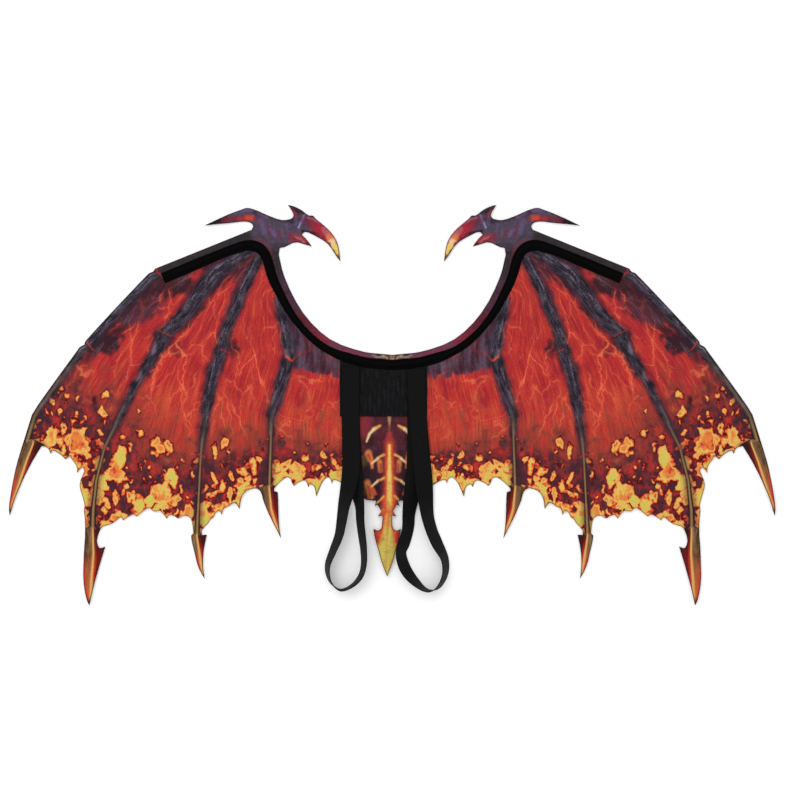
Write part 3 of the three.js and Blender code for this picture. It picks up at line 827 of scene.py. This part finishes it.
    def claws(self, colour):
        light = 1.1 * self.streak - 0.035 * self.side + 0.74
        stops = {0.1: "outline", 0.3: "goldDark", 0.55: "goldMid", 0.95: "goldLight"}
        outer = self.mix(self.step(self.claw, 0.2, 0.9, 0.0, 0.8), self.ramp(light, stops), "clawWarm")
        flank = self.step(self.edgeGap + 3.0 * self.streak, 4.5, 1.5) * self.step(self.claw, 0.3, 0.6)
        outer = self.mix(flank, outer, "clawRed")
        stripe = self.step(abs(self.side + 3.0 * self.streak + 3.4), 1.8, 0.3, 0.0, 0.8)
        root = self.step(self.claw + 0.3 * self.streak, 0.45, 0.05, 0.0, 0.8)
        inner = self.mix(root, self.mix(stripe, "facet", "facetLight"), "outline")
        shape = self.lay(inner, outer, self.side, -0.6, 0.4)
        broad = abs(self.side) / (self.claw + 0.8)
        shape = self.lay(shape, "clawLight", broad, 2.2, 0.3)
        shape = self.lay(shape, "outline", self.claw, 0.88, 1.0)
        cover = self.step(self.claw, 0.0, 0.02) * self.step(self.gap, 0.7, -0.7)
        return self.mix(cover, colour, shape)

    def overlay(self, colour):
        fine = self.uneven(self.stretch(self.place, 1.0, 1.0, shift=(11, 5, 0)), 0.16, 4.0, 0.65)
        dim = self.step(0.8 * fine + 0.5 * self.cloud, 0.0, 0.25, 0.0, 0.6)
        painted = self.mix(dim, self.field("strokes", "Color"), "paintDim", "MULTIPLY")
        painted = self.mix(self.step(fine, -0.05, -0.25, 0.0, 0.3), painted, "paintLift", "SCREEN")
        colour = self.mix(self.field("strokes", "Alpha"), colour, painted)
        torn = self.step(self.hemGap, 6.0, 2.0) * self.step(self.claw, 0.02, 0.0)
        line = self.mix(torn, "outline", "emberLine")
        return self.lay(colour, line, self.edgeGap, 1.8, 0.6, 0.8)

    def finish(self, colour):
        # Short crossing fibres with painted shade and highlight from their height, and the print's grain
        spot = self.node("ShaderNodeTexCoord").outputs["Object"]
        crossing = self.stretch(self.warped(spot, 60.0, 0.02), 1500.0, 260.0, 900.0)
        fluff = self.noise(spot, 900.0, 4.0, 0.7, flat=False)
        height = fluff + self.noise(crossing, 1.0, 2.0, 0.6, flat=False)
        # Painted shade and highlight: the fibres' height darkens their dips and lightens their tops
        paintedFibreShade = self.ramp(0.5 * height, {0.3: (0.86, 0.86, 0.87, 1), 0.7: (1.06, 1.05, 1.05, 1)})
        grain = self.ramp(self.speck + 0.5, {0.3: (1.12, 1.12, 1.12, 1), 0.7: (0.84, 0.84, 0.84, 1)})
        colour = self.mix(1.0, self.mix(1.0, colour, paintedFibreShade, "MULTIPLY"), grain, "MULTIPLY")
        rough = self.step(height, 0.7, 1.3, 0.86, 1.0)
        surface = {"Roughness": rough, "Specular IOR Level": 0.02}
        finishMaterial(self, colour, height, self.look["fibreHeight"], surface)


def feltMaterial():
    material, felt = newMaterial("printed_felt", PrintedFelt, panelLook)
    colour = felt.membrane()
    for layer in (felt.shade, felt.veins, felt.smoke, felt.embers, felt.bones, felt.claws, felt.overlay):
        colour = layer(colour)
    felt.finish(colour)
    return material


def feltSpots():
    # Places for the upper face's points, closer together on the heads, the claws and the tail
    look = panelLook
    low, high = panelRim.min(0), panelRim.max(0)
    grid = hexagonGrid(low, high, look["spacing"])
    fine = hexagonGrid(low, high, look["fineSpacing"])
    out = np.abs(fine[:, 0])
    inHead = (fine[:, 1] > look["headAbove"]) & (out < look["headWithin"])
    inTail = (fine[:, 1] < look["tailBelow"]) & (out < look["tailWithin"])
    inClaw = boneFields(mirrored(fine))[:, 5] > 0.01
    fine = fine[inHead | inTail | inClaw]
    crowded = nearest(grid, fine) < look["spacing"] * 0.8
    spots = np.concatenate([grid[~crowded], fine])
    lower = hexagonGrid(low, high, look["lowerSpacing"])
    upperClear = nearest(spots, panelEdge) > 0.55 * look["fineSpacing"]
    lowerClear = nearest(lower, panelEdge) > 0.4 * look["lowerSpacing"]
    return spots[upperClear], lower[lowerClear]


def wingFelt():
    look = panelLook
    spots, lowerSpots = feltSpots()
    sheet = (panelLow.z, look["thickness"], panelLift, feltMaterial())
    panel = clothSheet("wing_felt", panelRim, spots, lowerSpots, *sheet)
    places = np.array([vertex.co[:2] for vertex in panel.data.vertices])
    half = mirrored(places)
    bay, share, along, _ = flowFields(half)
    across = (bay + share) * look["bayWidth"]
    depth = smoothStep(half[:, 1], look["depthTop"], look["depthBottom"])
    store(panel, "place", np.column_stack([half / mm, np.zeros(len(half))]))
    store(panel, "flow", np.column_stack([across, along / mm, depth]))
    bones = boneFields(half)
    store(panel, "bone", bones[:, :3])
    store(panel, "boneKind", bones[:, 3:])
    hemGap = nearest(half, tornEdge) / mm
    outs, reaches = np.array(emberReach).T
    heat = 1 - hemGap / np.interp(half[:, 0] / panelHigh.x, outs / 1000, reaches)
    edgeGap = nearest(places, panelEdge) / mm
    store(panel, "gaps", np.column_stack([heat, hemGap, edgeGap]))
    downs, outs = np.array(tailMiddle).T / 1000
    down = (panelHigh.y - places[:, 1]) / panelTall
    middle = np.interp(down, downs, outs) * panelHigh.x
    tail = np.column_stack([np.abs(places[:, 0] - middle), places[:, 1]])
    laid = paint(half, strokes, 0.6 * mm)
    store(panel, "strokes", paint(tail, tailStrokes, 0.3 * mm, laid), "FLOAT_COLOR")
    store(panel, "shade", paint(half, shadeStrokes, 2 * mm), "FLOAT_COLOR")
    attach(panel, "root")
    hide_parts("wing_panel")
    print("felt:", len(panel.data.polygons), "faces")


# Threads for the black textiles: a plain weave of crossing threads, for tape, patch and straps

def threadGroup():
    tree = bpy.data.node_groups.new("wovenThreads", "ShaderNodeTree")
    sides = {"INPUT": ("Across", "Along", "Threads"), "OUTPUT": ("Height", "Shade")}
    for side, names in sides.items():
        for name in names:
            tree.interface.new_socket(name, in_out=side, socket_type="NodeSocketFloat")
    graph = Graph(tree)
    given = graph.node("NodeGroupInput").outputs
    turn = Signal(graph, given["Threads"]) * math.pi
    warp = graph.math("SINE", turn * given["Across"])
    weft = graph.math("SINE", turn * given["Along"])
    over = warp * weft
    raised = abs(warp) * graph.step(over, -0.4, 0.4)
    height = graph.math("MAXIMUM", raised, abs(weft) * graph.step(over, 0.4, -0.4))
    place = graph.node("ShaderNodeCombineXYZ", {0: given["Across"], 1: given["Along"]}).outputs[0]
    graph.node("NodeGroupOutput", {"Height": height, "Shade": graph.noise(place, 0.35, 3.0, 0.6)})
    return tree


threads = threadGroup()


def textile(name, look):
    material, graph = newMaterial(name, look=look)
    across, along, lighterStreaks = graph.split(graph.field("weave"))
    inputs = {"Across": across, "Along": along, "Threads": look["threads"]}
    weave = graph.node("ShaderNodeGroup", inputs, node_tree=threads).outputs
    height, dust = Signal(graph, weave["Height"]), Signal(graph, weave["Shade"])
    # Painted shade and highlight: the threads' height darkens the dips between them and lightens the
    # raised ones, mixed with random tone and the lighter streaks
    shade = graph.math("ADD", height * 0.5 + dust * 0.5, lighterStreaks, True)
    colour = graph.mix(graph.step(shade, 0.25, 0.95), "dark", "light")
    rough = graph.step(dust, 0.3, 0.7, look["roughness"] - 0.08, look["roughness"] + 0.05)
    surface = {"Roughness": rough, "Specular IOR Level": look.get("shine", 0.03)}
    finishMaterial(graph, colour, height, look["threadHeight"], surface)
    return material


# Sweeping a section along a route

def frames(route):
    # The unit direction along a route and the one across it in plan
    along = np.gradient(route, axis=0)
    along /= np.linalg.norm(along, axis=1)[:, None]
    across = np.column_stack([-along[:, 1], along[:, 0], np.zeros(len(along))])
    across /= np.linalg.norm(across, axis=1)[:, None]
    out = np.cross(along, across)
    return along, across, out


def evenly(route, spacing):
    steps = np.linalg.norm(np.diff(route, axis=0), axis=1)
    length = np.concatenate([[0], np.cumsum(steps)])
    wanted = np.linspace(0, length[-1], max(2, round(length[-1] / spacing) + 1))
    return np.column_stack([np.interp(wanted, length, column) for column in route.T]), wanted


def sweep(name, centres, across, out, sections, material, lighterStreaks=None):
    # sections gives, for each station, the points of a closed section as across and out
    rings = centres[:, None] + sections[..., :1] * across[:, None] + sections[..., 1:] * out[:, None]
    count, size = rings.shape[:2]
    faces = []
    for row in range(count - 1):
        for column in range(size):
            following = (column + 1) % size
            first, second = row * size, (row + 1) * size
            faces.append((first + column, first + following, second + following, second + column))
    faces.append(tuple(range(size))[::-1])
    faces.append(tuple((count - 1) * size + column for column in range(size)))
    piece = makePiece(name, rings.reshape(-1, 3), faces, material)
    steps = np.linalg.norm(np.diff(centres, axis=0), axis=1)
    length = np.concatenate([[0], np.cumsum(steps)])
    weave = np.zeros((count, size, 3))
    weave[..., 0] = sections[..., 0] / mm
    weave[..., 1] = length[:, None] / mm
    if lighterStreaks is not None:
        weave[..., 2] = lighterStreaks
    store(piece, "weave", weave.reshape(-1, 3))
    return piece


def stitches(name, places, directions, normals, look, material):
    # Short threads laid at places along a seam
    length, thickness = look["stitchLength"], look["stitchThickness"]
    turns = [2 * math.pi * turn / 6 for turn in range(6)]
    size = len(turns)
    spread = [(-0.5, 0.35), (-0.38, 0.9), (0.0, 1.0), (0.38, 0.9), (0.5, 0.35)]
    points, faces = [], []
    for place, along, up in zip(places, directions, normals):
        side = np.cross(up, along)
        first = len(points)
        for share, swell in spread:
            centre = place + along * length * share + up * (0.25 - share * share) * thickness
            for turn in turns:
                reach = side * math.cos(turn) + up * math.sin(turn)
                points.append(centre + reach * thickness * swell / 2)
        for ring in range(first, len(points) - size, size):
            for turn in range(size):
                a, b = ring + turn, ring + (turn + 1) % size
                faces.append((a, b, b + size, a + size))
        faces.append(tuple(range(first, first + size))[::-1])
        faces.append(tuple(range(len(points) - size, len(points))))
    piece = makePiece(name, points, faces, material)
    weave = np.array(points)[:, [1, 0, 2]] / mm
    weave[:, 2] = 0
    store(piece, "weave", weave)
    return piece


# The casing's black tape, with the wire's ridge down its middle

casingLook = {
    "dark": (4, 4, 4),
    "light": (15, 14, 14),
    "threads": 1.6,
    "threadHeight": 0.2 * mm,
    "roughness": 0.9,
    "width": 14 * mm,
    "spacing": 1.8 * mm,
    "smoothings": 6,
    "edgeThickness": 0.9 * mm,
    "pucker": 0.16 * mm,
    "waver": 0.012,
    "stitchPitch": 3.4 * mm,
    "stitchInset": 1.6 * mm,
    "stitchLength": 2.5 * mm,
    "stitchThickness": 0.5 * mm,
    "stitchRise": 0.12 * mm,
}

# The tape's section from its edge inwards. Columns: across as a share of half the width, then height
# as a share of the edge's thickness on the flat part, and of the whole height on the ridge.
tapeFlat = [(1.03, 0.5), (0.98, 1.0), (0.8, 1.08), (0.66, 0.92)]
tapeRidge = [(0.5, 0.26), (0.36, 0.55), (0.24, 0.82), (0.12, 0.96)]

# The tape's width and its shift from the ridge's route, by place. Columns: out, share of the named
# width, shift away from the sheet's edge in mm.
casingShape = [
    (0, 1, 0), (120, 1, 0), (160, 0.76, 0), (240, 0.66, 0), (290, 0.82, 0.4), (310, 0.92, 1.8),
    (350, 1.04, 3), (400, 1, 2), (440, 0.9, 1.4), (500, 1, 1.8), (620, 1.06, 2.6),
]


def ridgeLine(node):
    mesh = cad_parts[node].data
    top = max(vertex.co.z for vertex in mesh.vertices)
    ridge = {tuple(round(c, 6) for c in v.co) for v in mesh.vertices if v.co.z > top - 0.02 * mm}
    left = sorted(ridge)
    order = [left.pop(0)]
    while left:
        here = Vector(order[-1])
        following = min(left, key=lambda spot: (Vector(spot) - here).length)
        left.remove(following)
        order.append(following)
    return np.array(order)


def tapeSection(edgeShare):
    right = [(across, height * edgeShare) for across, height in tapeFlat] + tapeRidge
    left = [(-across, height) for across, height in right[::-1]]
    under = [(across, 0.0) for across in (-1.0, -0.5, 0.0, 0.5, 1.0)]
    return np.array([*under, *right, (0.0, 1.0), *left])


def casingTape():
    look = casingLook
    low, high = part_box("wire_casing")
    route = ridgeLine("wire_casing")
    route[:, 2] = low.z
    route, lengths = evenly(route, look["spacing"])
    for _ in range(look["smoothings"]):
        route[1:-1] = (route[:-2] + 2 * route[1:-1] + route[2:]) / 4
    across = frames(route)[1]
    outs, widths, shifts = np.array(casingShape).T
    out = np.abs(route[:, 0]) / panelHigh.x * 1000
    half = np.interp(out, outs, widths)[:, None] * look["width"] / 2
    route -= across * np.interp(out, outs, shifts)[:, None] * mm
    along, across, out = frames(route)
    tall, edge = high.z - low.z, look["edgeThickness"]
    sections = np.repeat(tapeSection(edge / tall)[None], len(route), 0)
    pitch = look["stitchPitch"]
    wave = np.sin(lengths / pitch * 2 * math.pi) + 0.8 * ripple(route[:, :2], 14 * mm, 5)
    puckered = (sections[..., 1] > 0.05) & (np.abs(sections[..., 0]) > 0.4)
    sections[..., 0] *= half * (1 + look["waver"] * ripple(route[:, :2], 30 * mm, 6))[:, None]
    sections[..., 1] = sections[..., 1] * tall + puckered * wave[:, None] * look["pucker"]
    material = textile("black_tape", look)
    casing = sweep("casing_tape", route, across, out, sections, material)
    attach(casing, "root")
    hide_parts("wire_casing")

    stations = np.arange(pitch, lengths[-1], pitch)
    picked = np.interp(stations, lengths, np.arange(len(lengths))).round().astype(int)
    lift = out[picked] * (edge + look["stitchRise"])
    aside = across[picked] * (half[picked] - look["stitchInset"])
    places = np.concatenate([route[picked] - aside + lift, route[picked] + aside + lift])
    both = [*picked, *picked]
    seams = stitches("casing_stitches", places, along[both], out[both], look, material)
    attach(seams, "root")
    print("casing:", len(casing.data.polygons), "faces")


# The cloth patch below the neck

patchLook = {
    "dark": (11, 11, 12),
    "light": (35, 35, 37),
    "threads": 1.3,
    "threadHeight": 0.22 * mm,
    "roughness": 0.95,
    "lighterStreaks": 0.45,
    "spacing": 1.5 * mm,
    "rimSpacing": 2.5 * mm,
    "lowerSpacing": 6 * mm,
    "crinkle": 0.34 * mm,
    "combed": 0.16,
    "hemWidth": 6 * mm,
    "hemRise": 0.12 * mm,
    "edgeRoll": 0.4 * mm,
}


def patchCloth():
    look = patchLook
    rim = upperRim("back_patch")
    edge, _ = densely(rim, 0.5 * mm)
    ring, _ = densely(rim, look["rimSpacing"])
    low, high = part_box("back_patch")
    thickness = high.z - low.z
    spots = hexagonGrid(rim.min(0), rim.max(0), look["spacing"])
    spots = spots[nearest(spots, edge) > 0.6 * look["spacing"]]
    lower = hexagonGrid(rim.min(0), rim.max(0), look["lowerSpacing"])
    lower = lower[nearest(lower, edge) > look["rimSpacing"]]
    sheet = (low.z, thickness, lambda points: 0 * points[:, 0], textile("black_cloth", look))
    patch = clothSheet("patch_cloth", ring, spots, lower, *sheet)
    places = np.array([vertex.co for vertex in patch.data.vertices])
    upper = places[:, 2] > low.z + thickness / 2
    gap = nearest(places[:, :2], edge)
    combed = np.column_stack([places[:, 0], places[:, 1] * look["combed"]])
    crinkle = ripple(combed, 5 * mm, 8) * 0.6 + ripple(combed, 11 * mm, 9) * 0.6
    crinkle *= smoothStep(gap, 0.8 * mm, 4 * mm) * look["crinkle"]
    hem = np.where(gap < look["hemWidth"], 1, -1) * smoothStep(gap, 0.5 * mm, 1.5 * mm) * look["hemRise"]
    places[:, 2] += upper * (crinkle + hem - smoothStep(gap, 1.4 * mm, 0) * look["edgeRoll"])
    patch.data.vertices.foreach_set("co", places.astype(np.float32).ravel())
    patch.data.update()
    # Lighter streaks in the colour, combed the same way as the crinkles
    lighterStreaks = smoothStep(ripple(combed, 4 * mm, 10), 0.2, 1.6) * look["lighterStreaks"]
    store(patch, "weave", np.column_stack([places[:, :2] / mm, lighterStreaks]))
    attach(patch, "root")
    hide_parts("back_patch")
    print("patch:", len(patch.data.polygons), "faces")


# The elastic shoulder straps

strapLook = {
    "dark": (5, 5, 5),
    "light": (24, 23, 25),
    "threads": 1.1,
    "threadHeight": 0.2 * mm,
    "roughness": 0.5,
    "shine": 0.06,
    "width": 25 * mm,
    "thickness": 1.4 * mm,
    "spacing": 90 * mm,
    "shift": -12 * mm,
    "length": 307 * mm,
    "drop": 40 * mm,
    "gap": 0.3 * mm,
    "stepsPerRow": 16,
    "columns": 22,
    "roundedPart": 0.045,
    "ribbedPart": 0.93,
    "ribDepth": 0.1,
    "faceShare": 0.96,
}

# Route of each strap's middle. Columns: in towards the tail and down, both as shares of the
# loop's length, and the lean of the band from flat in degrees.
leftStrap = [
    (0, 0, 0), (0, 0.167, 0), (0.004, 0.341, 0), (0.015, 0.472, 12), (0.03, 0.559, 40),
    (0.041, 0.624, 58), (0.0435, 0.689, 62), (0.051, 0.754, 64), (0.0587, 0.82, 68),
    (0.0587, 0.885, 72), (0.0435, 0.937, 76), (0.002, 0.98, 84), (-0.0457, 0.996, 90),
    (-0.0848, 0.967, 98), (-0.101, 0.928, 104), (-0.102, 0.885, 108), (-0.078, 0.82, 114),
    (-0.052, 0.754, 120), (-0.04, 0.689, 126), (-0.03, 0.624, 132), (-0.015, 0.559, 146),
    (0.001, 0.472, 168), (0.002, 0.341, 180), (0, 0.167, 180), (0, 0, 180),
]
rightStrap = [
    (0, 0, 0), (0, 0.167, 0), (0, 0.341, 0), (0.0065, 0.472, 8), (0.024, 0.58, 30),
    (0.033, 0.646, 44), (0.037, 0.711, 48), (0.054, 0.776, 48), (0.068, 0.82, 54),
    (0.056, 0.876, 52), (0.031, 0.92, 56), (-0.004, 0.958, 68), (-0.035, 0.982, 80),
    (-0.063, 0.99, 90), (-0.094, 0.978, 102), (-0.119, 0.943, 108), (-0.131, 0.9, 112),
    (-0.126, 0.846, 116), (-0.0935, 0.78, 128), (-0.0696, 0.724, 130), (-0.052, 0.663, 134),
    (-0.0435, 0.602, 144), (-0.035, 0.515, 164), (-0.017, 0.341, 180), (-0.004, 0.167, 180),
    (0, 0, 180),
]

# How far down the sheet the hem crosses the loops, in thousandths
hemDown = 739


def centripetal(rows, stepsPerRow):
    # A smooth curve through rows, with the same spacing of its knots as the CAD model's straps
    rows = np.array(rows, float)
    ends = [2 * rows[0] - rows[1], *rows, 2 * rows[-1] - rows[-2]]
    made = []
    for before, start, end, after in zip(ends, ends[1:], ends[2:], ends[3:]):
        reaches = (start - before, end - start, after - end)
        gapBefore, gap, gapAfter = [max(np.linalg.norm(reach) ** 0.5, 1e-4) for reach in reaches]
        chord = (end - start) / gap
        first = ((start - before) / gapBefore - (end - before) / (gapBefore + gap) + chord) * gap
        last = (chord - (after - start) / (gap + gapAfter) + (after - end) / gapAfter) * gap
        cubic = 2 * start - 2 * end + first + last
        square = -3 * start + 3 * end - 2 * first - last
        for t in np.arange(stepsPerRow) / stepsPerRow:
            made.append(start + first * t + square * t * t + cubic * t**3)
    return np.array([*made, rows[-1]])


def webbingSection():
    # A thin band with ribs along it and rounded edges
    look = strapLook
    shares = np.linspace(-1, 1, look["columns"] + 1)
    off, rounded = np.abs(shares), look["roundedPart"]
    edges = np.sqrt(np.clip(1 - ((off - 1 + rounded) / rounded).clip(0, 1) ** 2, 0, 1))
    ribs = np.cos(shares * math.pi * look["columns"] / 2) * (off < look["ribbedPart"])
    face = edges * (1 + look["ribDepth"] * ribs) * look["thickness"] / 2 * look["faceShare"]
    across = shares * look["width"] / 2
    return np.concatenate([np.column_stack([across, face]), np.column_stack([across, -face])[::-1][1:-1]])


def strapWebbing(name, node, rows, side, material):
    look = strapLook
    low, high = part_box(node)
    half, thick = look["width"] / 2, look["thickness"]
    middle = look["shift"] + side * look["spacing"] / 2
    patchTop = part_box("back_patch")[1].z
    leanUnit = 0.001
    scaled = [(inward, down, lean * leanUnit) for inward, down, lean in rows]
    plan = centripetal(scaled, look["stepsPerRow"])
    lean = np.radians(np.clip(plan[:, 2] / leanUnit, 0, 180))
    y = high.y - plan[:, 1] * look["length"]
    hemY = sheetPlace(0, hemDown)[1]
    onFelt = smoothStep(y, hemY - look["drop"], hemY)
    edgeHeight = half * np.sin(lean) + thick / 2 * np.abs(np.cos(lean))
    layer = (thick + look["gap"]) * np.maximum(0, -np.cos(lean))
    z = (patchTop + look["gap"]) * onFelt + edgeHeight + layer
    route = np.column_stack([middle - side * plan[:, 0] * look["length"], y, z])
    along, across, out = frames(route)
    turn = -side * lean[:, None]
    leanAcross = across * np.cos(turn) + out * np.sin(turn)
    leanOut = out * np.cos(turn) - across * np.sin(turn)
    sections = np.repeat(webbingSection()[::-1][None], len(route), 0)
    strap = sweep(name, route, leanAcross, leanOut, sections, material)
    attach(strap, "root")
    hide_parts(node)
    length = np.linalg.norm(np.diff(route, axis=0), axis=1).sum()
    print(name, "length", round(float(length), 4), "faces", len(strap.data.polygons))


# Stage

stageLook = {
    "floor": (250, 250, 250),
    "floorLight": (252, 252, 252),
    "floorGlow": 0.16,
    "floorReach": 6.0,
    "floorDrop": 0.2 * mm,
    "sky": 0.84,
    "lampPower": 20,
    "lampSize": (2.4, 1.6),
    "lampPlace": (-0.9, 1.1, 2.2),
    "lens": 85.0,
    "sensor": 36.0,
    "viewWidth": 1.1,
    "viewMiddle": (10.7 * mm, 7.0 * mm),
}


def stage():
    look, scene = stageLook, bpy.context.scene
    material, graph = newMaterial("pale_floor", look=look)
    texture = graph.noise(graph.node("ShaderNodeTexCoord").outputs["Object"], 6.0, flat=False)
    colour = graph.mix(graph.step(texture, 0.3, 0.7), "floor", "floorLight")
    surface = {"Roughness": 0.9, "Specular IOR Level": 0.1}
    surface |= {"Emission Color": (1, 1, 1, 1), "Emission Strength": look["floorGlow"]}
    finishMaterial(graph, colour, texture, 0.01 * mm, surface)
    reach, drop = look["floorReach"], look["floorDrop"]
    corners = [(x * reach, y * reach, -drop) for x, y in ((-1, -1), (1, -1), (1, 1), (-1, 1))]
    floor = makePiece("floor", corners, [(0, 1, 2, 3)], material, False)

    scene.world = bpy.data.worlds.new("studio")
    scene.world.use_nodes = True
    sky = scene.world.node_tree.nodes["Background"].inputs
    sky["Color"].default_value = (1, 1, 1, 1)
    sky["Strength"].default_value = look["sky"]
    lamp = bpy.data.lights.new("softbox", "AREA")
    lamp.shape = "RECTANGLE"
    lamp.size, lamp.size_y = look["lampSize"]
    lamp.energy = look["lampPower"]
    softbox = addObject("softbox", lamp, look["lampPlace"])
    softbox.rotation_euler = (-Vector(look["lampPlace"])).to_track_quat("-Z", "Y").to_euler()

    camera = bpy.data.cameras.new("camera")
    camera.lens, camera.sensor_width, camera.clip_end = look["lens"], look["sensor"], 50
    height = look["viewWidth"] * look["lens"] / look["sensor"]
    scene.camera = addObject("camera", camera, (*look["viewMiddle"], height))
    scene.view_settings.view_transform = "Standard"


wingFelt()
casingTape()
patchCloth()
webbing = textile("elastic_webbing", strapLook)
strapWebbing("webbing_left", "strap_left", leftStrap, -1, webbing)
strapWebbing("webbing_right", "strap_right", rightStrap, 1, webbing)
stage()
print("stage set")
